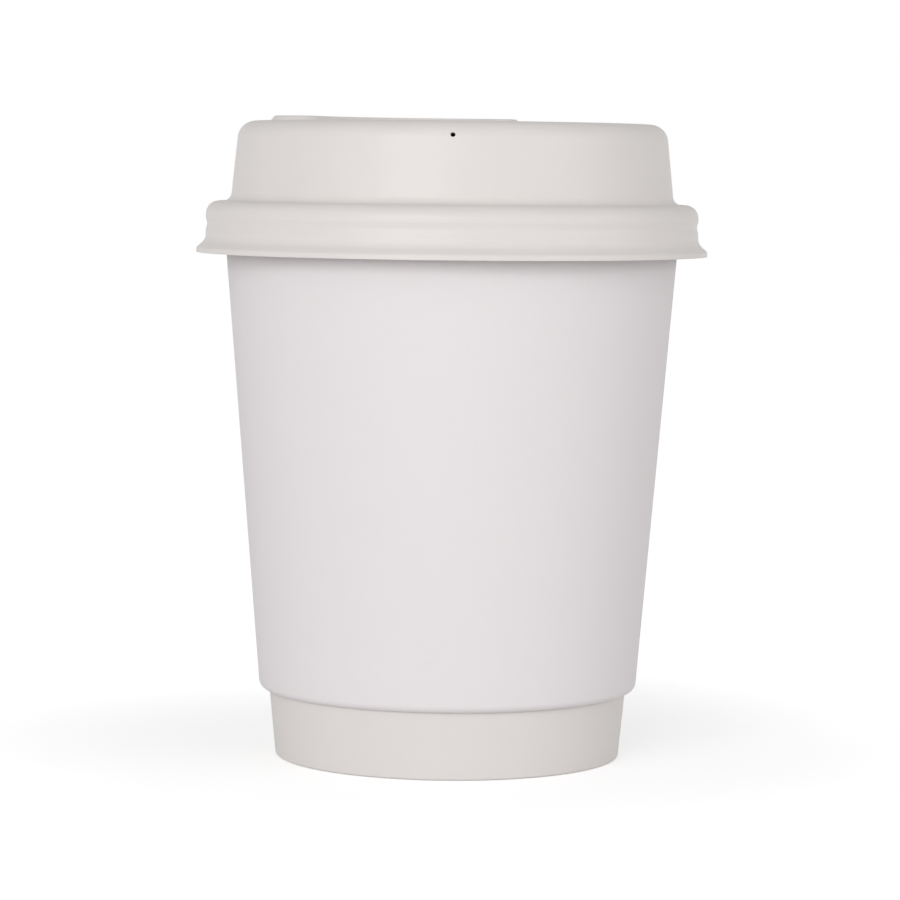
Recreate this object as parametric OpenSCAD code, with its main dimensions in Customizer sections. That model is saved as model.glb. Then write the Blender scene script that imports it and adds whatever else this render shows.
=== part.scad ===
// Double-walled paper coffee cup with a sip lid.
// The cup stands on its foot at z = 0 with its axis on Z. The vent hole of the lid faces -Y
// and the paper seams are at the back, +Y. Millimetres.

/* [Cup] */
// Height of the cup without its lid
cup_h = 91.7; // [80:0.1:110]
// Width over the rolled rim
rim_w = 80; // [74:0.5:90]
// Width of the foot
foot_w = 57.4; // [50:0.2:62]
// Thickness of the coated paper
paper_t = 0.38; // [0.3:0.02:0.44]
// Width of the roll at the rim
curl_w = 2.85; // [2.5:0.05:3.4]
// Turn of the paper in the roll, in degrees
curl_turn = 390; // [300:5:420]
// Overlap of the glued side seams
seam_w = 7; // [5:0.5:10]

/* [Foot] */
// Height of the underside of the bottom
recess_h = 7; // [5:0.5:12]
// Gap between the turned-up edge of the wall and the bottom
fold_gap = 1; // [0.5:0.1:2]
// Radius where the bottom turns down into its skirt
skirt_r = 0.8; // [0.5:0.1:1.5]
// Inner radius of a tight crease in the paper
crease_r = 0.12; // [0.08:0.02:0.2]

/* [Outer wall] */
// Height of the lower edge of the outer wall
sleeve_h = 11.2; // [8:0.2:20]
// Air gap between the two walls at that edge
air_gap = 1.25; // [1:0.05:2]
// Outer radius of the turned-in lower edge
hem_r = 1.4; // [1:0.05:1.6]

/* [Lid] */
// Thickness of the formed plastic sheet
lid_t = 0.4; // [0.3:0.05:0.55]
// Height of the lid's top above the rim of the cup
dome_h = 13.7; // [11:0.1:20]
// Distance of the dome's foot inside the widest part of the rim
dome_inset = 3.25; // [3:0.05:5]
// Lean of the dome's wall, in degrees
dome_lean = 6; // [2:0.5:10]
// Rounding of the dome's top edge
crown_r = 3; // [1.5:0.1:4]
// Rounding between the dome and the shoulder that sits on the rim
shoulder_r = 1.5; // [1:0.1:2.5]
// Rounding of the shoulder's outer edge
brim_r = 2.2; // [1.5:0.1:2.3]
// Depth of the lid's skirt below the shoulder
skirt_h = 8.5; // [8.1:0.1:11]
// How far the edge of the skirt flares out
flare_w = 1.55; // [1:0.05:2.2]
// Height of the flare
flare_h = 1.3; // [1:0.1:1.6]
// Rounding at the root of the flare
flare_r = 2; // [1:0.1:2.4]
// Height of the straight edge under the flare
lip_h = 0.8; // [0.6:0.1:1.2]

/* [Top of the lid] */
// Width of the round recess in the top
recess_w = 48; // [40:1:50]
// Depth of that recess
recess_d = 6; // [3:0.5:9]
// Shift of the recess away from the mouthpiece
recess_shift = 5; // [4.5:0.5:6]
// Rounding of the recess's edge and floor
recess_r = 1.2; // [0.8:0.1:2]
// Width of the raised mouthpiece at its foot
mouth_w = 10; // [9.2:0.1:10.6]
// Length of the mouthpiece as an angle about the cup's axis
mouth_arc = 90; // [40:5:95]
// Height of the mouthpiece above the crown
mouth_h = 1; // [0.6:0.1:1.3]
// Flat crown left between the mouthpiece and the rounded top edge
mouth_edge = 0.5; // [0.3:0.1:1]
// Rounding of the mouthpiece's top edge
mouth_r = 0.5; // [0.3:0.1:0.6]
// Turn of the mouthpiece from the back of the cup, in degrees
mouth_turn = 30; // [-40:5:40]
// Length of the drinking hole as an angle, between the centres of its round ends
slot_arc = 15; // [8:1:25]
// Width of the drinking hole
slot_w = 5.8; // [5:0.1:6]
// Width of the vent hole at the front
vent_w = 0.8; // [0.7:0.1:2]
// Distance of the vent hole below the lid's top
vent_drop = 2.2; // [1.8:0.1:4]

/* [Fits] */
// Glue line between two papers
glue_gap = 0.05; // [0.02:0.01:0.08]
// Gap between the rim and the lid that sits on it
seat_gap = 0.1; // [0.05:0.05:0.3]
// Gap between the rim and the widest part of the skirt
brim_gap = 0.45; // [0.3:0.05:0.8]
// Gap between the rim and the snap ring that passes over it
snap_gap = 0.2; // [0.15:0.05:0.3]

/* [Hidden] */
$fn = 120;
PAPER = [0.93, 0.92, 0.91];
PLASTIC = [0.9, 0.89, 0.88];
// Longest step along an arc in a section, in degrees
ARC_STEP = 15;
// Overlap of solids that are joined and reach of cuts past a face
JOIN = 0.1;

// Points of an arc about c from angle a to angle b
function arc(c, r, a, b) =
    let (n = max(2, ceil(abs(b - a) / ARC_STEP)))
    [for (i = [0:n]) c + r * [cos(a + (b - a) * i / n), sin(a + (b - a) * i / n)]];

// Unit vector from p to q
function way(p, q) = (q - p) / norm(q - p);

// Vector on the left of v, at a right angle to it
function left_of(v) = [-v[1], v[0]];

// Corner v of a path from a to b, rounded with radius r and touching both its sides
function fillet(a, v, b, r) =
    let (u = way(v, a), w = way(v, b), open = acos(u * w))
    let (c = v + (u + w) / norm(u + w) * r / sin(open / 2))
    let (start = v + u * r / tan(open / 2) - c)
    let (from = atan2(start[1], start[0]))
    let (side = sign(u[1] * w[0] - u[0] * w[1]))
    arc(c, r, from, from + side * (180 - open));

// Path through corners [x, z, radius], where a corner with no radius stays sharp
function rounded(c) =
    let (p = [for (v = c) [v[0], v[1]]], last = len(c) - 1)
    [for (i = [0:last])
        let (r = (i == 0 || i == last || len(c[i]) < 3) ? 0 : c[i][2])
        each r > 0 ? fillet(p[i - 1], p[i], p[i + 1], r) : [p[i]]];

// Corner i of a path, moved to its left by d
function beside(p, i, d) =
    let (last = len(p) - 1)
    let (a = left_of(way(p[max(i - 1, 0)], p[max(i, 1)])))
    let (b = left_of(way(p[min(i, last - 1)], p[min(i + 1, last)])))
    p[i] + 2 * d * (a + b) / ((a + b) * (a + b));

// Outline of a sheet that reaches l to the left and r to the right of a path
function sheet(p, l, r) = concat(
    [for (i = [0:len(p) - 1]) beside(p, i, l)],
    [for (i = [len(p) - 1:-1:0]) beside(p, i, -r)]
);

// Inner wall: a straight cone from the foot that runs tangent into the roll of the rim
foot_r = foot_w / 2;
curl_r = curl_w / 2;
curl_c = [rim_w / 2 - curl_r, cup_h - curl_r];
to_curl = curl_c - [foot_r, 0];
wall_lean = atan2(to_curl[0], to_curl[1]) - asin((curl_r - paper_t) / norm(to_curl));

// Radius of the surface that lies depth d inside the inner wall's outer face
function wall_at(z, d) = foot_r + z * tan(wall_lean) - d / cos(wall_lean);

// Depth of the skirt of the bottom and of the wall's turned-up edge
skirt_in = paper_t + glue_gap;
fold_in = 2 * skirt_in + paper_t / 2;
fold_r = crease_r + paper_t / 2;
fold_top = recess_h - fold_gap;

// Centre radius of the roll, which closes in by one paper and a glue line in its last part
curl_start = 180 - wall_lean;
// Turn after which the roll closes in, in degrees
CURL_CLOSING = 200;
function curl_at(a) =
    curl_r - paper_t / 2 - (paper_t + 2 * glue_gap) * max(0, a - CURL_CLOSING) / (360 - CURL_CLOSING);
curl_n = ceil(curl_turn / ARC_STEP);
curl_path = [for (i = [0:curl_n])
    let (a = curl_turn * i / curl_n)
    curl_c + curl_at(min(a, 360)) * [cos(curl_start - a), sin(curl_start - a)]];
fold_path = rounded([
    [wall_at(fold_top, fold_in), fold_top],
    [wall_at(paper_t / 2, fold_in), paper_t / 2, fold_r],
    [wall_at(paper_t / 2, paper_t / 2), paper_t / 2, fold_r],
    [wall_at(recess_h, paper_t / 2), recess_h]
]);

// Outer wall: a steeper cone, glued under the rim and standing off at its lower edge
sleeve_top = cup_h - curl_w - glue_gap;
sleeve_top_r = wall_at(sleeve_top, -glue_gap - paper_t);
sleeve_foot_r = wall_at(sleeve_h, -air_gap - paper_t);
sleeve_slope = (sleeve_top_r - sleeve_foot_r) / (sleeve_top - sleeve_h);

// Radius of the surface that lies depth d inside the outer wall's outer face
function sleeve_at(z, d) = sleeve_foot_r + (z - sleeve_h) * sleeve_slope - d;

// Lid: heights and radii follow the rim that it sits on
seat_z = cup_h + seat_gap;
brim_z = seat_z + lid_t;
top_z = cup_h + dome_h;
dome_foot_r = rim_w / 2 - dome_inset;
dome_top_r = dome_foot_r - (top_z - brim_z) * tan(dome_lean);
brim_out_r = rim_w / 2 + brim_gap + lid_t;
lid_foot_z = brim_z - skirt_h;
lip_r = brim_out_r + flare_w;
lip_top_z = lid_foot_z + lip_h;
// Snap ring: a shallow groove round the skirt that stands out inside it, just under the rim's roll
SNAP_DROP = 0.4;
// Height from the middle of the snap ring to each of its edges
SNAP_HALF = 1;
// Rounding of the snap ring
SNAP_R = 0.8;
snap_out_r = rim_w / 2 + snap_gap + lid_t;
snap_z = cup_h - curl_w - SNAP_DROP;
// Rounding between the flare and the straight edge below it
LIP_R = 0.5;
// Fall of the shoulder from its crest over the rim to each side
CREST_FALL = 0.15;

// Recess, and the mouthpiece on the wide side of the flat crown around it
recess_out_r = recess_w / 2;
// Lean of the recess's wall, in degrees
RECESS_LEAN = 7;
mouth_at = dome_top_r - crown_r - mouth_edge - mouth_w / 2;
mouth_dir = 90 + mouth_turn;

// Share of a ridge that is drawn from each of its ends
RIDGE_REACH = 0.6;

// Half section of a ridge, r1 wide at z1 and r2 wide at z2, with its top edge rounded
function ridge(r1, z1, r2, z2, round_r) = rounded([[r1, z1], [r2, z2, round_r], [0, z2]]);

// Ridge that follows the rim for arc_len degrees and ends in half cones.
// Each half is drawn in the frame of its round end, and the halves overlap in the middle.
module curved_ridge(arc_len, half) {
    section = concat(half, [for (i = [len(half) - 2:-1:0]) [-half[i][0], half[i][1]]]);
    reach = arc_len * RIDGE_REACH;
    for (side = [0, 1])
        rotate([0, 0, mouth_dir])
            mirror([0, side, 0])
                rotate([0, 0, arc_len / 2]) {
                    rotate_extrude(angle = reach, start = -reach)
                        translate([mouth_at, 0])
                            polygon(section);
                    translate([mouth_at, 0, 0])
                        rotate_extrude(angle = 180)
                            polygon(concat([[0, half[0][1]]], half));
                }
}

// Second layer of paper over the side seam, on a wall's face given by its radii at two heights
module seam_layer(r1, z1, r2, z2) {
    turn = seam_w / ((r1 + r2) / 2) * 180 / PI;
    rotate_extrude(angle = turn, start = 90 - turn / 2)
        polygon(sheet([[r1, z1], [r2, z2]], paper_t / 2, paper_t));
}

module inner_wall() {
    seam_z1 = recess_h + paper_t + glue_gap;
    seam_z2 = curl_c[1] - curl_r;
    color(PAPER) {
        rotate_extrude()
            polygon(sheet(concat(fold_path, curl_path), paper_t / 2, paper_t / 2));
        seam_layer(wall_at(seam_z2, paper_t), seam_z2, wall_at(seam_z1, paper_t), seam_z1);
    }
}

module bottom_disc() {
    top = recess_h + paper_t;
    skirt_z = paper_t + crease_r + glue_gap;
    color(PAPER)
        rotate_extrude()
            polygon(sheet(rounded([
                [0, top],
                [wall_at(top, skirt_in), top, skirt_r],
                [wall_at(skirt_z, skirt_in), skirt_z]
            ]), 0, paper_t));
}

module outer_wall() {
    hem_z = sleeve_h + 2 * hem_r;
    color(PAPER) {
        rotate_extrude()
            polygon(sheet(rounded([
                [sleeve_at(sleeve_top, 0), sleeve_top],
                [sleeve_at(sleeve_h, 0), sleeve_h, hem_r],
                [wall_at(sleeve_h + paper_t, -glue_gap), sleeve_h]
            ]), 0, paper_t));
        seam_layer(sleeve_at(hem_z, 0), hem_z, sleeve_at(sleeve_top, 0), sleeve_top);
    }
}

// Outside of the lid, from the middle of its top down to the edge of its skirt
function lid_path() = rounded([
    [0, top_z],
    [dome_top_r, top_z, crown_r],
    [dome_foot_r, brim_z - CREST_FALL, shoulder_r],
    [curl_c[0], brim_z, shoulder_r],
    [brim_out_r, brim_z - CREST_FALL, brim_r],
    [brim_out_r, snap_z + SNAP_HALF, SNAP_R],
    [snap_out_r, snap_z, SNAP_R],
    [brim_out_r, snap_z - SNAP_HALF, SNAP_R],
    [brim_out_r, lip_top_z + flare_h, flare_r],
    [lip_r, lip_top_z, LIP_R],
    [lip_r, lid_foot_z]
]);

// Top face of the recess, from its edge down to the middle of its floor
function recess_path() = rounded([
    [recess_out_r + recess_r, top_z],
    [recess_out_r, top_z, recess_r],
    [recess_out_r - recess_d * tan(RECESS_LEAN), top_z - recess_d, recess_r],
    [0, top_z - recess_d]
]);

module lid() {
    recess_at = -recess_shift * [cos(mouth_dir), sin(mouth_dir), 0];
    half = mouth_w / 2;
    foot_z = top_z - lid_t;
    mouth_z = top_z + mouth_h;
    color(PLASTIC)
        difference() {
            union() {
                difference() {
                    rotate_extrude()
                        polygon(sheet(lid_path(), 0, lid_t));
                    translate(recess_at + [0, 0, top_z - lid_t - JOIN])
                        cylinder(r = recess_out_r + recess_r - JOIN, h = lid_t + 2 * JOIN);
                }
                translate(recess_at)
                    rotate_extrude()
                        polygon(sheet(recess_path(), lid_t, 0));
                curved_ridge(mouth_arc, ridge(half, foot_z, half - mouth_h, mouth_z, mouth_r));
            }
            curved_ridge(mouth_arc,
                ridge(half - lid_t, foot_z - JOIN, half - mouth_h - lid_t / 2, mouth_z - lid_t, mouth_r - lid_t / 2));
            curved_ridge(slot_arc, [[slot_w / 2, top_z], [slot_w / 2, mouth_z + JOIN], [0, mouth_z + JOIN]]);
            translate([0, -dome_top_r, top_z - vent_drop])
                rotate([90, 0, 0])
                    cylinder(d = vent_w, h = 2 * crown_r, center = true);
        }
}

inner_wall();
bottom_disc();
outer_wall();
lid();
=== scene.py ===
"""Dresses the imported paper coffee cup: wound paper walls, a pressed bottom and a formed sip lid.

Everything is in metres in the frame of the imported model. The cup stands at z = 0 with its axis on Z,
the vent hole of the lid faces -Y and the paper seams are at the back, +Y.
"""

import math

import bpy
import numpy as np
from mathutils import Matrix, Vector


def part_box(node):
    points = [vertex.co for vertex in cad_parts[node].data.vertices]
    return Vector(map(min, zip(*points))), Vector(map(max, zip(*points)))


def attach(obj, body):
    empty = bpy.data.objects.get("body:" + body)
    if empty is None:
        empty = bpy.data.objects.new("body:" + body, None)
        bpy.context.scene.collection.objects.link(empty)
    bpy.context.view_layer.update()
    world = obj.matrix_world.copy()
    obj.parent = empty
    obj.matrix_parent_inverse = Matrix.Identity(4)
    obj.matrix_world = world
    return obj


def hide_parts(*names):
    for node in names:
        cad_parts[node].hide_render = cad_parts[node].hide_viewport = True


bl_info = {
    "name": "Paper Coffee Cup",
    "version": (1, 0, 0),
    "blender": (4, 5, 0),
    "location": "View3D > Sidebar > Cup",
    "description": "Makes the paper walls, the bottom and the sip lid of a double-walled coffee cup",
    "category": "Add Mesh",
}

MM = 0.001
TURN = 2 * math.pi
BACK = math.pi / 2  # direction of the paper seams about the axis
FRONT = TURN - math.pi / 2  # direction of the vent hole about the axis
WHITE = (1, 1, 1, 1)

ARC_ERROR = 0.005 * MM  # how far the straight steps of an arc may leave it
SHARP = math.radians(40)  # edges that bend by more than this are shaded as sharp
WALL_COLUMNS = 360  # columns of points round each paper wall
BOTTOM_COLUMNS = 240  # columns of points round the bottom
CLOSING = math.radians(200)  # turn of the rim's roll from which it draws in under itself
VENT_CELL = 0.14 * MM  # step of the lid's grid round the vent
VENT_RING = 3  # steps from the vent's middle to its edge
VENT_REACH = 9  # steps from the vent's middle to where the grid is straight again

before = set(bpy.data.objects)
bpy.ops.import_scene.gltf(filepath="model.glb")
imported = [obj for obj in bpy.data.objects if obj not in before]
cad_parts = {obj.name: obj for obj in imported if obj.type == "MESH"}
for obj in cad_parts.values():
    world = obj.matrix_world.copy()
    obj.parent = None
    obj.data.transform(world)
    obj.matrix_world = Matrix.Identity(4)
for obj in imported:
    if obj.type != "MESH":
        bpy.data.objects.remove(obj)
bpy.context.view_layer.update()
wall_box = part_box("inner_wall")


def length(name, millimetres, description):
    """A length property, whose default is written in millimetres."""
    return bpy.props.FloatProperty(
        name=name, description=description, default=millimetres * MM, min=0, precision=5, unit="LENGTH"
    )


def angle(name, degrees, description):
    """An angle property, whose default is written in degrees."""
    return bpy.props.FloatProperty(
        name=name, description=description, default=math.radians(degrees), subtype="ANGLE"
    )


def tint(name, colour, description):
    """A colour property in linear light."""
    return bpy.props.FloatVectorProperty(
        name=name, description=description, default=colour, size=3, min=0, max=1, subtype="COLOR"
    )


def amount(name, value, description):
    """A plain number property."""
    return bpy.props.FloatProperty(name=name, description=description, default=value, min=0)


class CupSizes(bpy.types.PropertyGroup):
    """Sizes of the paper walls and the bottom"""

    height: length("Height", wall_box[1].z / MM, "Height of the cup without its lid")
    rim_width: length("Rim width", 80, "Width over the rolled rim")
    foot_width: length("Foot width", 57.4, "Width of the foot")
    paper: length("Paper", 0.38, "Thickness of the coated paper")
    glue: length("Glue", 0.05, "Glue line between two papers")
    roll_width: length("Roll width", 2.85, "Width of the roll at the rim")
    roll_turn: angle("Roll turn", 390, "Turn of the paper in the roll")
    seam_width: length("Seam width", 7, "Overlap of the glued side seams")
    pressed_seam: length("Pressed seam", 0.07, "Height of the inner seam where it turns over the rim")
    bottom_height: length("Bottom height", 7, "Height of the underside of the bottom")
    fold_gap: length("Fold gap", 1, "Gap between the wall's turned-up edge and the bottom")
    skirt_radius: length("Skirt radius", 0.8, "Rounding where the bottom turns down")
    crease: length("Crease", 0.12, "Inner radius of a tight crease")
    sleeve_height: length("Sleeve height", 11.2, "Height of the outer wall's lower edge")
    air_gap: length("Air gap", 1.25, "Gap between the two walls at that edge")
    hem_radius: length("Hem radius", 1.4, "Outer radius of the turned-in lower edge")
    knurl_depth: length("Knurl depth", 0.14, "Depth of the dents in the turned-up edge at the foot")


class LidSizes(bpy.types.PropertyGroup):
    """Sizes of the formed lid"""

    sheet: length("Sheet", 0.4, "Thickness of the formed sheet")
    top: length("Top", 105.4, "Height of the lid's crown above the table")
    dome_inset: length("Dome inset", 3.25, "Distance of the dome's foot inside the rim")
    dome_lean: angle("Dome lean", 6, "Lean of the dome's wall")
    crown_radius: length("Crown radius", 3, "Rounding of the dome's top edge")
    shoulder_radius: length("Shoulder radius", 1.5, "Rounding between dome and shoulder")
    shoulder_fall: length("Shoulder fall", 0.15, "How far the shoulder falls off to either side")
    brim_radius: length("Brim radius", 2.2, "Rounding of the shoulder's outer edge")
    skirt: length("Skirt", 8.5, "Depth of the skirt below the shoulder")
    flare: length("Flare", 1.55, "How far the skirt's edge flares out")
    flare_height: length("Flare height", 1.3, "Height of the flare")
    flare_radius: length("Flare radius", 2, "Rounding at the root of the flare")
    lip: length("Lip", 0.8, "Height of the straight edge under the flare")
    lip_radius: length("Lip radius", 0.5, "Rounding between the flare and that edge")
    seat_gap: length("Seat gap", 0.1, "Gap between the rim and the lid on it")
    brim_gap: length("Brim gap", 0.45, "Gap between the rim and the widest part of the skirt")
    snap_gap: length("Snap gap", 0.2, "Gap between the rim and the snap ring that passes over it")
    snap_drop: length("Snap drop", 0.4, "Distance of the snap ring below the rim's roll")
    snap_height: length("Snap height", 2, "Height of the snap ring")
    snap_radius: length("Snap radius", 0.8, "Rounding of the snap ring")
    recess_width: length("Recess width", 48, "Width of the round recess in the top")
    recess_depth: length("Recess depth", 6, "Depth of the recess")
    recess_shift: length("Recess shift", 5, "Shift of the recess away from the mouthpiece")
    recess_radius: length("Recess radius", 1.2, "Rounding of the recess's edge and floor")
    recess_lean: angle("Recess lean", 7, "Lean of the recess's wall")
    mouth_width: length("Mouthpiece width", 10, "Width of the raised mouthpiece at its foot")
    mouth_arc: angle("Mouthpiece arc", 90, "Length of the mouthpiece about the cup's axis")
    mouth_height: length("Mouthpiece height", 1, "Height of the mouthpiece above the crown")
    mouth_edge: length("Mouthpiece edge", 0.5, "Flat crown outside the mouthpiece")
    mouth_radius: length("Mouthpiece rounding", 0.5, "Rounding of the mouthpiece's edges")
    mouth_turn: angle("Mouthpiece turn", 30, "Turn of the mouthpiece from the back")
    slot_arc: angle("Slot arc", 15, "Angle between the round ends of the drinking hole")
    slot_width: length("Slot width", 5.8, "Width of the drinking hole")
    vent_width: length("Vent width", 0.8, "Width of the vent hole")
    vent_drop: length("Vent drop", 2.2, "Distance of the vent hole below the crown")


class FinishColours(bpy.types.PropertyGroup):
    """Colours of the paper and the plastic"""

    board: tint("Board", (0.787, 0.750, 0.757), "Outside of the outer wall")
    inner_board: tint("Inner board", (0.738, 0.703, 0.688), "Outside of the inner wall, seen at the foot")
    coated: tint("Coated paper", (0.775, 0.748, 0.735), "Inside of the cup")
    pulp: tint("Cut edge", (0.66, 0.60, 0.53), "Cut edges of the paper")
    plastic: tint("Plastic", (0.743, 0.706, 0.686), "Formed lid")
    floor: tint("Floor", (0.80, 0.80, 0.80), "Table under the cup")


class StudioSettings(bpy.types.PropertyGroup):
    """Camera, light and floor"""

    distance: length("Camera distance", 612.5, "Distance of the camera from the cup's axis")
    camera_height: length("Camera height", 98.2, "Height of the camera")
    camera_side: length("Camera side", 0.05, "Sideways place of the camera")
    aim_height: length("Aim height", 51.0, "Height of the point in the middle of the frame")
    aim_side: length("Aim side", 0.05, "Sideways place of that point")
    roll: angle("Roll", 0.6, "Turn of the camera about its own line of sight")
    lens: amount("Lens", 147.2, "Focal length in millimetres on a 36 mm sensor")
    ambient: amount("Ambient", 0.975, "Light at the horizon, where 1 renders a colour as written")
    overhead: amount("Overhead", 0.30, "Light from straight above as a share of that at the horizon")
    key: amount("Key", 0.34, "Light that the front lamp adds")
    key_turn: angle("Key turn", -20, "Direction of the front lamp, turned from the camera's side")
    side: amount("Side", 0.112, "Light that the side lamp adds")
    side_turn: angle("Side turn", 60, "Direction of the side lamp, turned from the camera's side")
    lamp_width: length("Lamp width", 700, "Width of both lamps")
    lamp_tall: length("Lamp height", 420, "Height of both lamps")
    lamp_distance: length("Lamp distance", 1100, "Distance of the lamps from the cup's axis")
    lamp_level: length("Lamp level", 360, "Height of the lamps above the floor")
    lamp_aim: length("Lamp aim", 55, "Height of the point that the lamps face")
    floor_half: length("Floor", 8000, "Half the side of the square floor")
    # Painted shade: the floor glows less at the cup than away from it, which darkens a patch round the cup on
    # top of its real shadow.
    glow_start: length("Glow start", 40, "Distance from the axis at which the floor's glow begins to grow")
    glow_end: length("Glow end", 130, "Distance from the axis at which it is full")
    glow_near: amount("Glow near", 0.42, "Glow of the floor at the cup, where 1 is white")
    glow_far: amount("Glow far", 0.60, "Glow of the floor away from the cup")


# Paths in the r, z plane


def arc_round(before, corner, after, radius):
    """Arc of the given radius that touches both sides of a corner: its centre lies on the corner's
    bisector at radius / sin(half the opening), and it turns by 180 degrees less the opening."""
    to_a, to_b = before - corner, after - corner
    to_a, to_b = to_a / np.linalg.norm(to_a), to_b / np.linalg.norm(to_b)
    opening = math.acos(float(np.clip(to_a @ to_b, -1, 1)))
    middle = (to_a + to_b) / np.linalg.norm(to_a + to_b)
    centre = corner + middle * radius / math.sin(opening / 2)
    start = corner + to_a * radius / math.tan(opening / 2) - centre
    turn = math.pi - opening
    if to_a[1] * to_b[0] - to_a[0] * to_b[1] < 0:
        turn = -turn
    steps = max(2, math.ceil(abs(turn) / (2 * math.acos(1 - ARC_ERROR / radius))))
    a = math.atan2(start[1], start[0]) + turn * np.linspace(0, 1, steps + 1)
    return centre + radius * np.stack([np.cos(a), np.sin(a)], 1)


def rounded(corners):
    """Path through corners (r, z, rounding), where a corner with no rounding stays sharp."""
    points = [np.array(c[:2], float) for c in corners]
    path = [points[0][None]]
    for before, corner, after, c in zip(points, points[1:], points[2:], corners[1:]):
        path.append(arc_round(before, corner, after, c[2]) if len(c) > 2 else corner[None])
    return np.vstack([*path, points[-1][None]])


def stepped(path, longest):
    """The same path with its straight parts cut into steps no longer than the given length."""
    parts = []
    for a, b in zip(path, path[1:]):
        n = max(1, math.ceil(np.linalg.norm(b - a) / longest))
        parts.append(a + (b - a) * np.arange(n)[:, None] / n)
    return np.vstack([*parts, path[-1:]])


def beside(path, distance):
    """The path moved to its left by a distance, which may differ from point to point: each point moves
    along the mean of the left normals of its two sides, lengthened so that both sides move alike."""
    way = np.diff(path, axis=0)
    way /= np.linalg.norm(way, axis=1)[:, None]
    left = np.stack([-way[:, 1], way[:, 0]], 1)
    total = np.vstack([left[:1], left]) + np.vstack([left, left[-1:]])
    reach = 2 * total / (total**2).sum(1)[:, None]
    return path + reach * np.broadcast_to(distance, len(path))[:, None]


def spread(*stops):
    """Numbers that run through stops, each given with the number of equal steps to the next. The last
    stop itself is left out."""
    runs = [np.linspace(a, b, n, endpoint=False) for (a, n), (b, _) in zip(stops, stops[1:])]
    return np.concatenate(runs)


def run(path):
    """Distance along the path from its start to each of its points."""
    return np.concatenate([[0], np.cumsum(np.linalg.norm(np.diff(path, axis=0), axis=1))])


# Surfaces


def all_round(columns, start=0.0):
    """Directions of evenly spaced columns about the axis."""
    return np.linspace(0, TURN, columns + 1)[:-1] + start


def turned(path, angles):
    """Grid of points of a path turned about Z: (r cos a, r sin a, z) for each angle a and path point."""
    r = np.broadcast_to(path[..., 0], (len(angles), path.shape[-2]))
    z = np.broadcast_to(path[..., 1], r.shape)
    a = np.asarray(angles)[:, None]
    return np.stack([r * np.cos(a), r * np.sin(a), z], -1)


def grid_faces(columns, rows, ring, pole):
    """Corner numbers of a grid's quads. A ring's last column joins its first, and at a pole the first
    row is one point, so its quads are triangles, which repeat their first corner as their last."""
    number = np.arange(columns * rows).reshape(columns, rows)
    if pole:
        number[:, 0] = 0
    follow = np.roll(number, -1, 0) if ring else number[1:]
    number = number if ring else number[:-1]
    quads = np.stack([number[:, :-1], follow[:, :-1], follow[:, 1:], number[:, 1:]], -1)
    if pole:
        quads[:, 0] = quads[:, 0][:, [0, 2, 3, 0]]
    return quads.reshape(-1, 4)


def grid_normals(points):
    """Unit normals of a ring-shaped grid: the cross product of the steps to the neighbours round the
    ring and along the rows. The middle of the pole points along Z, and normals face out."""
    across = np.roll(points, -1, 0) - np.roll(points, 1, 0)
    along = np.gradient(points, axis=1)
    normal = np.cross(along, across)
    size = np.linalg.norm(normal, axis=-1, keepdims=True)
    normal = normal / np.maximum(size, 1e-12)
    normal[:, 0] = (0, 0, np.sign(normal[:, 1, 2].mean()))
    return normal if normal[:, 0, 2].mean() > 0 else -normal


def open_edges(quads, count):
    """Directed edges of the faces that no other face has the other way round."""
    a, b = quads.ravel(), np.roll(quads, -1, 1).ravel()
    real = a != b
    a, b = a[real], b[real]
    single = ~np.isin(a * count + b, b * count + a)
    return a[single], b[single]


def sheet_mesh(name, front, back, materials, ring=False, pole=False, keep=None):
    """Closed sheet between two grids of points that match one to one. Both grids get the same faces,
    the back ones turned round, and each open edge gets a quad across the sheet's thickness.
    The materials are for the front, the back and the cut edges."""
    columns, rows = front.shape[:2]
    count = columns * rows
    quads = grid_faces(columns, rows, ring, pole)
    if keep is not None:
        quads = quads[keep.ravel()]
    a, b = open_edges(quads, count)
    rim = np.stack([b, a, a + count, b + count], 1)
    faces = np.vstack([quads, quads[:, ::-1] + count, rim])
    finish = np.repeat([0, 1, 2], [len(quads), len(quads), len(rim)])
    points = np.vstack([front.reshape(-1, 3), back.reshape(-1, 3)])
    return solid(name, points, faces, finish, materials)


def solid(name, points, faces, finish, materials):
    """Object of these points and faces. A face that repeats a corner is a triangle, and unused points
    go. The volume is summed over the tetrahedra from the origin to each face's triangles, and if it
    comes out negative every face is turned round."""
    three = (faces == np.roll(faces, -1, 1)).any(1)
    order = np.argsort(three, kind="stable")
    faces, finish, three = faces[order], finish[order], three[order]
    loops = faces[~three].ravel()
    if three.any():
        odd = faces[three]
        twin = np.argmax(odd == np.roll(odd, -1, 1), axis=1)
        loops = np.concatenate([loops, odd[np.arange(4)[None] != twin[:, None]]])
    sizes = np.where(three, 3, 4)
    used, loops = np.unique(loops, return_inverse=True)
    points = points[used]
    starts = np.concatenate([[0], np.cumsum(sizes)[:-1]])
    first = points[loops[starts]]
    second = np.cross(points[loops[starts + 1]], points[loops[starts + 2]])
    third = np.cross(points[loops[starts + 2]], points[loops[starts + sizes - 1]])
    four = sizes == 4
    if (first * second).sum() + (first[four] * third[four]).sum() < 0:
        corner = np.arange(len(loops)) - np.repeat(starts, sizes)
        loops = loops[np.repeat(starts + sizes - 1, sizes) - corner]
    mesh = bpy.data.meshes.new(name)
    mesh.vertices.add(len(points))
    mesh.vertices.foreach_set("co", points.astype(np.float32).ravel())
    mesh.loops.add(len(loops))
    mesh.loops.foreach_set("vertex_index", loops.astype(np.int32))
    mesh.polygons.add(len(sizes))
    mesh.polygons.foreach_set("loop_start", starts.astype(np.int32))
    mesh.polygons.foreach_set("material_index", finish.astype(np.int32))
    mesh.polygons.foreach_set("use_smooth", np.ones(len(sizes), bool))
    mesh.update(calc_edges=True)
    mesh.validate()
    mesh.set_sharp_from_angle(angle=SHARP)
    for material in materials:
        mesh.materials.append(material)
    return linked(name, mesh)


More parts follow.
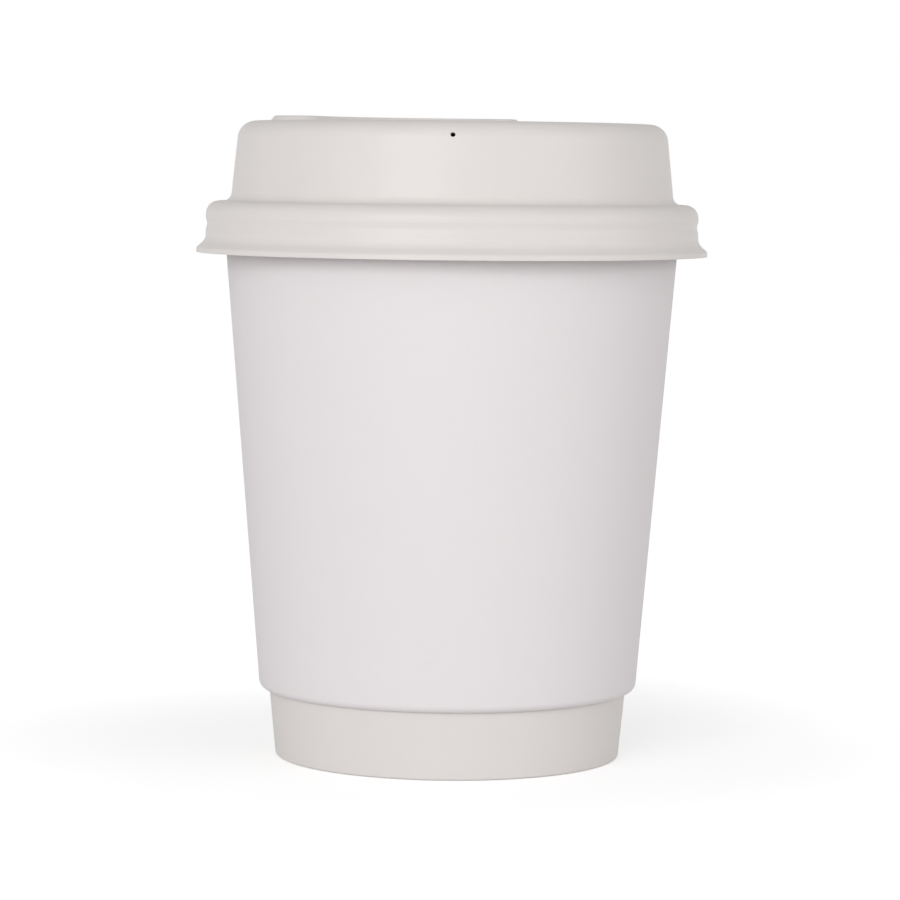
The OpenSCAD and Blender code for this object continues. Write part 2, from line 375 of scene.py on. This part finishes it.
def linked(name, data):
    """Object of this data, in the scene."""
    made = bpy.data.objects.new(name, data)
    bpy.context.scene.collection.objects.link(made)
    return made


def joined(first, second):
    """Both objects' meshes in the first object."""
    both = [first, second]
    with bpy.context.temp_override(
        active_object=first, object=first, selected_objects=both, selected_editable_objects=both
    ):
        bpy.ops.object.join()
    return first


def seated(piece, body, node):
    """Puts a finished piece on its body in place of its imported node."""
    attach(piece, body)
    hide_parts(node)
    return piece


# Materials


class Nodes:
    """The node tree of a material or a world, with short calls for the nodes used here."""

    def __init__(self, owner):
        owner.use_nodes = True
        self.tree = owner.node_tree

    def new(self, kind, **inputs):
        """A node of a kind, with its inputs set to values or linked to other nodes' outputs. A name in
        small letters is a setting of the node itself."""
        node = self.tree.nodes.new("ShaderNode" + kind)
        for key, value in inputs.items():
            if key[0].islower():
                setattr(node, key, value)
        for key, value in inputs.items():
            if not key[0].islower():
                self.put(node, key.replace("_", " "), value)
        return node

    def put(self, node, socket, value):
        """Sets or links one input, which is named or numbered."""
        if isinstance(value, bpy.types.NodeSocket):
            self.tree.links.new(value, node.inputs[socket])
        else:
            node.inputs[socket].default_value = value

    def worked(self, node, *values):
        """First output of a node, with its inputs set or linked in order."""
        for number, value in enumerate(values):
            self.put(node, number, value)
        return node.outputs[0]

    def calculated(self, operation, *values):
        """Result of an operation on these numbers and outputs."""
        return self.worked(self.new("Math", operation=operation), *values)

    def noise(self, vector, size, detail, roughness):
        """Noise whose blots are about the given size, in metres."""
        node = self.new("TexNoise", Vector=vector, Scale=1 / size, Detail=detail, Roughness=roughness)
        return node.outputs["Fac"]

    def levels(self, value, low, high):
        """A value of about 0.3 to 0.7 spread over low to high."""
        node = self.new("MapRange", Value=value, From_Min=0.3, From_Max=0.7, To_Min=low, To_Max=high)
        return node.outputs["Result"]

    def shaded(self, colour, factor):
        """A colour times a grey factor."""
        node = self.new("VectorMath", operation="SCALE", Scale=factor)
        return self.worked(node, colour)

    def total(self, first, second, share):
        """First plus a share of the second."""
        return self.calculated("MULTIPLY_ADD", second, share, first)


def matt(name, gloss, roughness=None):
    """A material with its nodes and its shader, whose gloss and roughness are the same all over."""
    material = bpy.data.materials.new(name)
    n = Nodes(material)
    shader = n.tree.nodes["Principled BSDF"]
    shader.inputs["Specular IOR Level"].default_value = gloss
    if roughness is not None:
        shader.inputs["Roughness"].default_value = roughness
    return material, n, shader


def paper_material(name, colour, roughness, cloud, fibre, gloss):
    """Paper board: clouds a few millimetres across and fine fibres drawn out up the wall tint it a
    little, and the fibres stand out of the surface by a few hundredths of a millimetre."""
    material, n, shader = matt(name, gloss)
    place = n.new("TexCoord").outputs["Object"]
    upright = n.new("Mapping", Vector=place, Scale=(1, 1, 0.35)).outputs["Vector"]
    clouds = n.noise(place, size=7 * MM, detail=3, roughness=0.55)
    fibres = n.noise(upright, size=0.45 * MM, detail=4, roughness=0.6)
    mixed = n.total(clouds, fibres, share=0.6)
    n.put(shader, "Base Color", n.shaded(colour, n.levels(mixed, 1 - cloud, 1 + cloud)))
    n.put(shader, "Roughness", n.levels(fibres, roughness - 0.05, roughness + 0.05))
    relief = n.total(fibres, clouds, share=0.8)
    bump = n.new("Bump", Strength=1.0, Distance=fibre, Height=relief)
    n.put(shader, "Normal", bump.outputs["Normal"])
    return material


def pulp_material(name, colour):
    """Cut edge of paper: rough layers of pulp along the edge."""
    material, n, shader = matt(name, gloss=0.2, roughness=0.85)
    place = n.new("TexCoord").outputs["Object"]
    layers = n.noise(place, size=0.3 * MM, detail=4, roughness=0.7)
    n.put(shader, "Base Color", n.shaded(colour, n.levels(layers, 0.9, 1.08)))
    bump = n.new("Bump", Strength=1.0, Distance=0.05 * MM, Height=layers)
    n.put(shader, "Normal", bump.outputs["Normal"])
    return material


def plastic_material(name, colour, roughness, grain):
    """Formed sheet plastic: a matt skin with a fine grain, a slow waviness left by forming, and a
    tint and gloss that change a little over a few millimetres."""
    material, n, shader = matt(name, gloss=0.4)
    place = n.new("TexCoord").outputs["Object"]
    clouds = n.noise(place, size=9 * MM, detail=2, roughness=0.5)
    fine = n.noise(place, size=0.25 * MM, detail=2, roughness=0.5)
    waves = n.noise(place, size=4 * MM, detail=1, roughness=0.4)
    n.put(shader, "Base Color", n.shaded(colour, n.levels(clouds, 0.990, 1.010)))
    n.put(shader, "Roughness", n.levels(clouds, roughness - 0.04, roughness + 0.04))
    skin = n.new("Bump", Strength=1.0, Distance=grain, Height=fine).outputs["Normal"]
    form = n.new("Bump", Strength=1.0, Distance=0.03 * MM, Height=waves, Normal=skin)
    n.put(shader, "Normal", form.outputs["Normal"])
    return material


def floor_material(colour, studio):
    """Pale table that the camera sees as white paper with the cup's shadow on it: it glows a little for
    the camera, and more away from the cup, so the weaker glow at the cup paints a darker patch of shade
    round it on top of the real shadow. For all other light it is plain matt colour."""
    material, n, shader = matt("pale_floor", gloss=0.1, roughness=0.9)
    rays = n.new("LightPath").outputs
    mirrored = n.calculated("MAXIMUM", rays["Is Glossy Ray"], rays["Is Transmission Ray"])
    seen = n.calculated("MAXIMUM", rays["Is Camera Ray"], mirrored)
    away = n.new("VectorMath", operation="LENGTH")
    n.put(away, 0, n.new("TexCoord").outputs["Object"])
    # Painted shade: the glow is weakest at the cup, which darkens the floor round it beyond its real shadow.
    glow = n.new(
        "MapRange", interpolation_type="SMOOTHSTEP", Value=away.outputs["Value"],
        From_Min=studio.glow_start, From_Max=studio.glow_end, To_Min=studio.glow_near, To_Max=studio.glow_far,
    )
    shader.inputs["Base Color"].default_value = (*colour, 1)
    shader.inputs["Emission Color"].default_value = WHITE
    n.put(shader, "Emission Strength", n.calculated("MULTIPLY", seen, glow.outputs["Result"]))
    return material


def finish_of(name, maker, *values):
    """The material of that name, made once."""
    return bpy.data.materials.get(name) or maker(name, *values)


def board_finish(colours):
    """Outside of the outer wall."""
    return finish_of("paper_board", paper_material, colours.board, 0.72, 0.012, 0.02 * MM, 0.35)


def inner_finishes(colours):
    """Coated side, board side and cut edge of the inner paper."""
    coated = finish_of("coated_paper", paper_material, colours.coated, 0.38, 0.008, 0.01 * MM, 0.5)
    inner = finish_of("paper_inner_board", paper_material, colours.inner_board, 0.72, 0.012, 0.02 * MM, 0.35)
    return coated, inner, edge_finish(colours)


def edge_finish(colours):
    """Cut edge of the paper."""
    return finish_of("paper_edge", pulp_material, colours.pulp)


# The paper pieces


class CupLines:
    """Lines that the paper pieces share: the roll's centre, the slope of the inner wall, which is the
    tangent from the foot to the roll, and the outer wall's slope between its two edges."""

    def __init__(self, s):
        self.s = s
        self.roll = s.roll_width / 2
        self.centre = np.array([s.rim_width / 2 - self.roll, s.height - self.roll])
        across, up = self.centre[0] - s.foot_width / 2, self.centre[1]
        self.lean = math.atan2(across, up) - math.asin((self.roll - s.paper) / math.hypot(across, up))
        self.top = s.height - s.roll_width - s.glue
        self.foot_r = self.wall(s.sleeve_height, -s.air_gap - s.paper)
        top_r = self.wall(self.top, -s.glue - s.paper)
        self.slope = (top_r - self.foot_r) / (self.top - s.sleeve_height)

    def wall(self, z, depth):
        """Radius of the inner wall at height z and depth below its outer face."""
        return self.s.foot_width / 2 + z * math.tan(self.lean) - depth / math.cos(self.lean)

    def sleeve(self, z, depth):
        """Radius of the outer wall at height z and depth below its outer face."""
        return self.foot_r + (z - self.s.sleeve_height) * self.slope - depth


def inner_path(s, lines):
    """Middle of the inner wall's sheet: down the turned-up edge, round the fold, up the wall and round
    the roll, whose radius shrinks by a paper and two glue lines from the closing turn to the full one."""
    half = s.paper / 2
    fold_in = 2 * (s.paper + s.glue) + half
    fold_r = s.crease + half
    edge = s.bottom_height - s.fold_gap
    fold = rounded([
        (lines.wall(edge, fold_in), edge),
        (lines.wall(half, fold_in), half, fold_r),
        (lines.wall(half, half), half, fold_r),
        (lines.wall(s.bottom_height, half), s.bottom_height),
    ])
    a = np.linspace(0, s.roll_turn, num=66)
    drawn_in = np.clip((np.minimum(a, TURN) - CLOSING) / (TURN - CLOSING), 0, 1)
    r = lines.roll - half - (s.paper + 2 * s.glue) * drawn_in
    start = math.pi - lines.lean
    curl = lines.centre + r[:, None] * np.stack([np.cos(start - a), np.sin(start - a)], 1)
    return stepped(np.vstack([fold, curl]), longest=6 * MM)


def knurl_dents(path, angles, depth):
    """Depth of the dents that a knurled wheel presses into the turned-up edge: a cosine wave round the
    ring, times a band along the path that fades at both ends."""
    count = 90
    middle, reach, fade = 2.9 * MM, 2.0 * MM, 0.6 * MM
    band = np.clip((reach - np.abs(run(path) - middle)) / fade, 0, 1)
    return depth * band * (0.5 + 0.5 * np.cos(count * angles))[:, None]


def seam_rise(share, ramp):
    """Height of a lap seam across its width, from 0 to 1: it climbs a smooth ramp and ends at full
    height with the paper's cut edge."""
    x = np.clip(share / ramp, 0, 1)
    return x * x * (3 - 2 * x)


def seam_strip(path, thickness, s, materials):
    """Second layer of a lap seam: the wall's path on an arc at the back, lifted by up to a thickness,
    which may differ along the path. It starts in the wall's face, climbs in a ramp and ends at the cut
    edge."""
    ramp = 0.22
    arc = s.seam_width / (1 - ramp) / path[:, 0].mean()
    share = np.concatenate([np.linspace(0, ramp, num=9)[:-1], np.linspace(ramp, 1, num=14)])
    angles = BACK - arc / 2 + arc * share
    lift = seam_rise(share, ramp)
    front = np.stack([turned(beside(path, t * thickness), [a])[0] for a, t in zip(angles, lift)])
    back = turned(beside(path, -s.paper / 2), angles)
    return sheet_mesh("seam", front, back, materials)


def inner_seam(s, lines):
    """Path of the inner wall's second layer, up the inside and over the roll, and its thickness, which
    is a paper and a glue line on the wall, is pressed thin at the roll and runs out at its end."""
    pressing, before_roll, fade = 9 * MM, 1 * MM, 1.5 * MM
    low = s.bottom_height + s.paper + s.glue
    bend = math.pi - lines.lean - np.linspace(0, CLOSING, num=41)
    over = lines.centre + lines.roll * np.stack([np.cos(bend), np.sin(bend)], 1)
    path = stepped(np.vstack([[(lines.wall(low, s.paper), low)], over]), longest=2 * MM)
    along = run(path)
    at_roll = along[-len(bend)]
    stops = at_roll - pressing, at_roll - before_roll, along[-1] - fade, along[-1]
    return path, np.interp(along, stops, (s.paper + s.glue, s.pressed_seam, s.pressed_seam, 0))


class CUP_OT_inner_wall(bpy.types.Operator):
    """Make the inner paper wall with its folded foot and rolled rim"""

    bl_idname = "cup.inner_wall"
    bl_label = "Inner wall"

    def execute(self, context):
        s = context.scene.cup_sizes
        coated, inner, edge = inner_finishes(context.scene.cup_colours)
        lines = CupLines(s)
        path = inner_path(s, lines)
        angles = all_round(WALL_COLUMNS, BACK)
        outward = np.stack([np.cos(angles), np.sin(angles), 0 * angles], 1)[:, None]
        dents = knurl_dents(path, angles, s.knurl_depth)[..., None] * outward
        front = turned(beside(path, s.paper / 2), angles) - dents
        back = turned(beside(path, -s.paper / 2), angles) - dents
        body = sheet_mesh("inner_wall_paper", front, back, (coated, inner, edge), ring=True)
        strip = seam_strip(*inner_seam(s, lines), s, (coated, coated, edge))
        seated(joined(body, strip), "cup", "inner_wall")
        return {"FINISHED"}


class CUP_OT_bottom(bpy.types.Operator):
    """Make the pressed bottom with the skirt that turns down inside the foot"""

    bl_idname = "cup.bottom"
    bl_label = "Bottom"

    def execute(self, context):
        s = context.scene.cup_sizes
        lines = CupLines(s)
        top, skirt_in = s.bottom_height + s.paper, s.paper + s.glue
        low = s.paper + s.crease + s.glue
        path = rounded([
            (0, top),
            (lines.wall(top, skirt_in), top, s.skirt_radius),
            (lines.wall(low, skirt_in), low),
        ])
        path = stepped(path, longest=2 * MM)
        angles = all_round(BOTTOM_COLUMNS)
        front, back = turned(path, angles), turned(beside(path, -s.paper), angles)
        finishes = inner_finishes(context.scene.cup_colours)
        piece = sheet_mesh("bottom_paper", front, back, finishes, ring=True, pole=True)
        seated(piece, "cup", "bottom_disc")
        return {"FINISHED"}


class CUP_OT_outer_wall(bpy.types.Operator):
    """Make the outer paper wall with its lap seam and turned-in lower edge"""

    bl_idname = "cup.outer_wall"
    bl_label = "Outer wall"

    def execute(self, context):
        s, colours = context.scene.cup_sizes, context.scene.cup_colours
        board = board_finish(colours)
        finishes = board, board, edge_finish(colours)
        lines = CupLines(s)
        path = rounded([
            (lines.sleeve(lines.top, 0), lines.top),
            (lines.sleeve(s.sleeve_height, 0), s.sleeve_height, s.hem_radius),
            (lines.wall(s.sleeve_height + s.paper, -s.glue), s.sleeve_height),
        ])
        path = stepped(path, longest=4 * MM)
        angles = all_round(WALL_COLUMNS, BACK)
        front, back = turned(path, angles), turned(beside(path, -s.paper), angles)
        body = sheet_mesh("outer_wall_paper", front, back, finishes, ring=True)
        strip = seam_strip(path, s.paper + s.glue, s, finishes)
        seated(joined(body, strip), "cup", "outer_wall")
        return {"FINISHED"}


# The lid


def lid_path(lid, cup):
    """Outside of the lid from the flat crown down to the edge of the skirt."""
    rim_r, brim_z = cup.rim_width / 2, cup.height + lid.seat_gap + lid.sheet
    foot_r = rim_r - lid.dome_inset
    dome_r = foot_r - (lid.top - brim_z) * math.tan(lid.dome_lean)
    brim_r = rim_r + lid.brim_gap + lid.sheet
    snap_r, snap_z = rim_r + lid.snap_gap + lid.sheet, cup.height - cup.roll_width - lid.snap_drop
    lip_z = brim_z - lid.skirt + lid.lip
    return rounded([
        (dome_r - lid.crown_radius, lid.top),
        (dome_r, lid.top, lid.crown_radius),
        (foot_r, brim_z - lid.shoulder_fall, lid.shoulder_radius),
        (rim_r - cup.roll_width / 2, brim_z, lid.shoulder_radius),
        (brim_r, brim_z - lid.shoulder_fall, lid.brim_radius),
        (brim_r, snap_z + lid.snap_height / 2, lid.snap_radius),
        (snap_r, snap_z, lid.snap_radius),
        (brim_r, snap_z - lid.snap_height / 2, lid.snap_radius),
        (brim_r, lip_z + lid.flare_height, lid.flare_radius),
        (brim_r + lid.flare, lip_z, lid.lip_radius),
        (brim_r + lid.flare, lip_z - lid.lip),
    ])


def ray_to_circle(angles, centre, radius):
    """Distance from the axis, along each direction, to a circle that holds the axis: the centre's part
    along the ray plus the root of the radius squared less the centre's part across it, squared."""
    along = centre[0] * np.cos(angles) + centre[1] * np.sin(angles)
    across = centre[0] * np.sin(angles) - centre[1] * np.cos(angles)
    return along + np.sqrt(radius**2 - across**2)


def from_arc(x, y, radius, middle, span):
    """Nearest point of an arc about the axis to each point, and the distance to it."""
    turn = (np.arctan2(y, x) - middle + math.pi) % TURN - math.pi
    near = middle + np.clip(turn, -span / 2, span / 2)
    near_x, near_y = radius * np.cos(near), radius * np.sin(near)
    return near_x, near_y, np.hypot(x - near_x, y - near_y)


def cut_slot(x, y, near_x, near_y, away, half):
    """Opens a grid inside the outline that runs at a distance of half a width round an arc. Faces with
    no corner outside it go, and the inner corners of the faces that stay move onto it, straight away
    from the arc's nearest point. Gives the moved grid and the faces that stay."""
    margin = 0.1 * MM
    outside = away > half + margin
    kept = outside | np.roll(outside, -1, 0)
    kept = kept[:, :-1] | kept[:, 1:]
    used = np.pad(kept, ((0, 0), (1, 1)))
    used = used | np.roll(used, 1, 0)
    moved = (used[:, :-1] | used[:, 1:]) & ~outside
    reach = half / np.maximum(away, 1e-9)
    x = np.where(moved, near_x + (x - near_x) * reach, x)
    y = np.where(moved, near_y + (y - near_y) * reach, y)
    return x, y, kept


def opened(angles, along, hole, radius, column, row):
    """Moves the grid lines round a hole. Squares of grid points about the hole's middle, from its ring
    outwards, become circles that start at the hole's edge and blend into the grid at its reach."""
    angles, along = angles.copy(), along.copy()
    hole_r, hole_s = hole
    steps = np.abs(np.arange(-VENT_REACH, VENT_REACH + 1))
    square = np.maximum(steps[:, None], steps)
    span = VENT_REACH + 1
    inside = slice(column - VENT_REACH, column + span), slice(row - VENT_REACH, row + span)
    across, down = (angles[inside] - FRONT) * hole_r, along[inside] - hole_s
    bearing = np.arctan2(down, across)
    share = np.clip((square - VENT_RING) / (VENT_REACH - VENT_RING), 0, 1)
    circle = radius + share * (np.abs(across).max() - radius)
    angles[inside] = FRONT + ((1 - share) * circle * np.cos(bearing) + share * across) / hole_r
    along[inside] = hole_s + (1 - share) * circle * np.sin(bearing) + share * down
    return angles, along


def lid_columns(lid, mouth_r, window):
    """Directions of the lid's columns, close together at the mouthpiece's ends and the drinking hole,
    and even in the window to either side of the vent."""
    margin = 0.02  # in radians
    half = lid.mouth_width / 2
    mouth_dir = BACK + lid.mouth_turn
    vent = FRONT - mouth_dir
    near_end, far_end = lid.mouth_arc / 2 - margin, lid.mouth_arc / 2 + half / mouth_r + margin
    slot = lid.slot_arc / 2 + lid.slot_width / 2 / mouth_r + margin
    end_steps, side_steps, slot_steps, left_steps, right_steps = 36, 22, 46, 50, 84
    return mouth_dir + spread(
        (-far_end, end_steps),
        (-near_end, side_steps),
        (-slot, slot_steps),
        (slot, side_steps),
        (near_end, end_steps),
        (far_end, left_steps),
        (vent - window, 2 * VENT_REACH),
        (vent + window, right_steps),
        (TURN - far_end, 0),
    )


def recess_path(lid):
    """Section of the recess in r and z about its own middle, from its floor up to the flat crown."""
    edge_r = lid.recess_width / 2
    floor_r = edge_r - lid.recess_depth * math.tan(lid.recess_lean)
    floor_z = lid.top - lid.recess_depth
    inside, beyond = 4 * MM, 1.2 * lid.recess_radius
    return rounded([
        (floor_r - inside, floor_z),
        (floor_r, floor_z, lid.recess_radius),
        (edge_r, lid.top, lid.recess_radius),
        (edge_r + beyond, lid.top),
    ])


def mouth_flank(lid):
    """Height of the mouthpiece over the crown against the distance from the middle of its arc, from
    outside its foot up to its level top."""
    half = lid.mouth_width / 2
    outside, level = 0.5 * MM, 1.6 * MM
    foot = half - lid.sheet * lid.mouth_height / (lid.mouth_height + lid.sheet)
    return rounded([
        (half + outside, 0),
        (foot, 0, lid.mouth_radius),
        (half - lid.mouth_height, lid.mouth_height, lid.mouth_radius),
        (half - level, lid.mouth_height),
    ])


def lid_top(lid, angles, mouth_r):
    """Grid of the lid's top, from the middle outwards. Each column first crosses the recess's floor in
    even steps and climbs its wall, at the distances at which its ray meets the recess's shifted
    circles. Then it crosses the crown in rows that crowd at the mouthpiece's edges, lifted by the
    flank's height at the distance from the mouthpiece's arc. Gives the points and the faces that stay
    round the drinking hole."""
    mouth_dir = BACK + lid.mouth_turn
    middle = -lid.recess_shift * np.array([math.cos(mouth_dir), math.sin(mouth_dir)])
    recess, flank = recess_path(lid), mouth_flank(lid)
    floor_share = np.linspace(0, 1, num=6)[:-1]
    floor_r = ray_to_circle(angles, middle, recess[0, 0])[:, None] * floor_share
    wall_r = ray_to_circle(angles[:, None], middle, recess[None, :, 0])
    level = np.linspace(-flank[-1, 0], flank[-1, 0], num=28)[1:-1]
    off = np.concatenate([-flank[:, 0], level, flank[::-1, 0]])
    gap = 0.15 * MM
    start_r = np.maximum(mouth_r + off[0], wall_r[:, -1] + gap)[:, None]
    share = (off - off[0]) / (off[-1] - off[0])
    crown_r = start_r + (mouth_r + off[-1] - start_r) * share
    r = np.concatenate([floor_r, wall_r, crown_r], 1)
    x, y = r * np.cos(angles[:, None]), r * np.sin(angles[:, None])
    n_floor, n_recess = len(floor_share), len(floor_share) + len(recess)
    z = np.full_like(x, lid.top)
    z[:, :n_floor] = lid.top - lid.recess_depth
    z[:, n_floor:n_recess] = recess[:, 1]
    from_mouth = from_arc(x, y, mouth_r, mouth_dir, lid.mouth_arc)[2]
    z[:, n_recess:] += np.interp(from_mouth, flank[::-1, 0], flank[::-1, 1])[:, n_recess:]
    slot = from_arc(x, y, mouth_r, mouth_dir, lid.slot_arc)
    x, y, kept = cut_slot(x, y, *slot, lid.slot_width / 2)
    return np.stack([x, y, z], -1), kept


def lid_side(lid, path, angles, vent):
    """Grid of the turned part: the path's radius and height at each row's distance along it, turned to
    each column. The rows are even round the vent, where the grid lines make way for the hole. Gives
    the points and the faces that stay."""
    vent_s = vent[1]
    margin = 0.1 * MM
    along = run(path)
    rows = run(stepped(path, longest=4 * MM))[1:]
    rows = rows[np.abs(rows - vent_s) > VENT_REACH * VENT_CELL + margin]
    even = vent_s + VENT_CELL * np.arange(-VENT_REACH, VENT_REACH + 1)
    rows = np.sort(np.concatenate([rows, even]))
    column = int(np.argmin(np.abs(angles - FRONT)))
    row = int(np.argmin(np.abs(rows - vent_s)))
    a, s = np.meshgrid(angles, rows, indexing="ij")
    a, s = opened(a, s, vent, lid.vent_width / 2, column, row)
    r, z = np.interp(s, along, path[:, 0]), np.interp(s, along, path[:, 1])
    kept = np.ones((len(angles), len(rows) - 1), bool)
    kept[column - VENT_RING:column + VENT_RING, row - VENT_RING:row + VENT_RING] = False
    return np.stack([r * np.cos(a), r * np.sin(a), z], -1), kept


class CUP_OT_lid(bpy.types.Operator):
    """Make the formed lid with its recess, mouthpiece, drinking hole and vent"""

    bl_idname = "cup.lid"
    bl_label = "Lid"

    def execute(self, context):
        cup, lid, colours = context.scene.cup_sizes, context.scene.lid_sizes, context.scene.cup_colours
        plastic = finish_of("lid_plastic", plastic_material, colours.plastic, 0.45, 0.006 * MM)
        cut = finish_of("lid_cut_edge", plastic_material, colours.plastic, 0.6, 0.02 * MM)
        path = lid_path(lid, cup)
        along = run(path)
        mouth_r = path[0, 0] - lid.mouth_edge - lid.mouth_width / 2
        vent_s = np.interp(lid.vent_drop - lid.top, -path[:, 1], along)
        vent_r = np.interp(vent_s, along, path[:, 0])
        angles = lid_columns(lid, mouth_r, VENT_REACH * VENT_CELL / vent_r)
        top, top_kept = lid_top(lid, angles, mouth_r)
        side, side_kept = lid_side(lid, path, angles, (vent_r, vent_s))
        front = np.concatenate([top, side], 1)
        back = front - lid.sheet * grid_normals(front)
        between = np.ones((len(angles), 1), bool)
        keep = np.concatenate([top_kept, between, side_kept], 1)
        finishes = plastic, plastic, cut
        piece = sheet_mesh("lid_sheet", front, back, finishes, ring=True, pole=True, keep=keep)
        seated(piece, "lid", "lid")
        return {"FINISHED"}


# The stage


class CUP_OT_stage(bpy.types.Operator):
    """Make the pale floor, the studio light and the camera"""

    bl_idname = "cup.stage"
    bl_label = "Stage"

    def execute(self, context):
        scene, studio = context.scene, context.scene.cup_studio
        scene.view_settings.view_transform = "Standard"
        half = studio.floor_half
        corners = [(-half, -half, 0), (half, -half, 0), (half, half, 0), (-half, half, 0)]
        mesh = bpy.data.meshes.new("floor")
        mesh.from_pydata(corners, [], [(0, 1, 2, 3)])
        mesh.materials.append(floor_material(scene.cup_colours.floor, studio))
        floor = linked("floor", mesh)
        self.world(scene, studio)
        self.lamp(studio, "front_lamp", studio.key_turn, studio.key)
        self.lamp(studio, "side_lamp", studio.side_turn, studio.side)
        self.camera(scene, studio)
        return {"FINISHED"}

    def world(self, scene, studio):
        """Light from all round that is weaker from above. The camera sees it as white."""
        scene.world = bpy.data.worlds.new("studio")
        n = Nodes(scene.world)
        n.tree.nodes.clear()
        up = n.new("SeparateXYZ", Vector=n.new("TexCoord").outputs["Generated"]).outputs["Z"]
        overhead = studio.ambient * studio.overhead
        level = n.new("MapRange", Value=up, To_Min=studio.ambient, To_Max=overhead)
        rays = n.new("LightPath").outputs
        seen = n.calculated("MAXIMUM", rays["Is Camera Ray"], rays["Is Transmission Ray"])
        lit = n.new("Background", Color=WHITE, Strength=level.outputs["Result"])
        white = n.new("Background", Color=WHITE)
        either = n.worked(n.new("MixShader"), seen, lit.outputs[0], white.outputs[0])
        n.new("OutputWorld", Surface=either)

    def lamp(self, studio, name, turn, share):
        """Soft box that adds the given share of light to a wall that faces it."""
        data = bpy.data.lights.new(name, "AREA")
        data.shape, data.size, data.size_y = "RECTANGLE", studio.lamp_width, studio.lamp_tall
        across = studio.lamp_distance
        place = Vector((across * math.sin(turn), -across * math.cos(turn), studio.lamp_level))
        target = Vector((0, 0, studio.lamp_aim))
        away = (place - target).length
        # A lamp of radiance L and area A adds L A / (pi d^2) at distance d, and L is power / (pi A).
        data.energy = share * math.pi**2 * (away**2 + data.size * data.size_y / math.pi)
        holder = linked(name, data)
        holder.location = place
        holder.rotation_euler = (target - place).to_track_quat("-Z", "Y").to_euler()

    def camera(self, scene, studio):
        """Camera at the photograph's height and distance, turned a little about its line of sight."""
        data = bpy.data.cameras.new("camera")
        data.lens, data.sensor_width, data.sensor_fit = studio.lens, 36.0, "AUTO"
        data.clip_start, data.clip_end = 0.05, 20.0
        place = Vector((studio.camera_side, -studio.distance, studio.camera_height))
        aim = Vector((studio.aim_side, 0, studio.aim_height))
        turn = (aim - place).to_track_quat("-Z", "Y").to_matrix() @ Matrix.Rotation(studio.roll, 3, "Z")
        holder = linked("camera", data)
        holder.matrix_world = Matrix.Translation(place) @ turn.to_4x4()
        scene.camera = holder


class CUP_PT_panel(bpy.types.Panel):
    """Sizes, colours and the buttons that make the pieces"""

    bl_label = "Paper cup"
    bl_idname = "CUP_PT_panel"
    bl_space_type = "VIEW_3D"
    bl_region_type = "UI"
    bl_category = "Cup"

    def draw(self, context):
        for group, title in GROUPS:
            box = self.layout.box()
            box.label(text=title)
            settings = getattr(context.scene, group)
            for name in settings.bl_rna.properties.keys():
                if name not in ("rna_type", "name"):
                    box.prop(settings, name)
        for operator in OPERATORS:
            self.layout.operator(operator.bl_idname)


GROUPS = (("cup_sizes", "Cup"), ("lid_sizes", "Lid"), ("cup_colours", "Colours"), ("cup_studio", "Studio"))
SETTINGS = (CupSizes, LidSizes, FinishColours, StudioSettings)
OPERATORS = (CUP_OT_inner_wall, CUP_OT_bottom, CUP_OT_outer_wall, CUP_OT_lid, CUP_OT_stage)


def register():
    """Adds the settings, the operators and the panel."""
    for cls in (*SETTINGS, *OPERATORS, CUP_PT_panel):
        bpy.utils.register_class(cls)
    for (group, _), cls in zip(GROUPS, SETTINGS):
        setattr(bpy.types.Scene, group, bpy.props.PointerProperty(type=cls))


def unregister():
    """Takes them out again."""
    for group, _ in GROUPS:
        delattr(bpy.types.Scene, group)
    for cls in reversed((*SETTINGS, *OPERATORS, CUP_PT_panel)):
        bpy.utils.unregister_class(cls)


def main():
    """Makes every piece."""
    register()
    bpy.ops.cup.inner_wall()
    bpy.ops.cup.bottom()
    bpy.ops.cup.outer_wall()
    bpy.ops.cup.lid()
    bpy.ops.cup.stage()


if __name__ == "__main__":
    main()
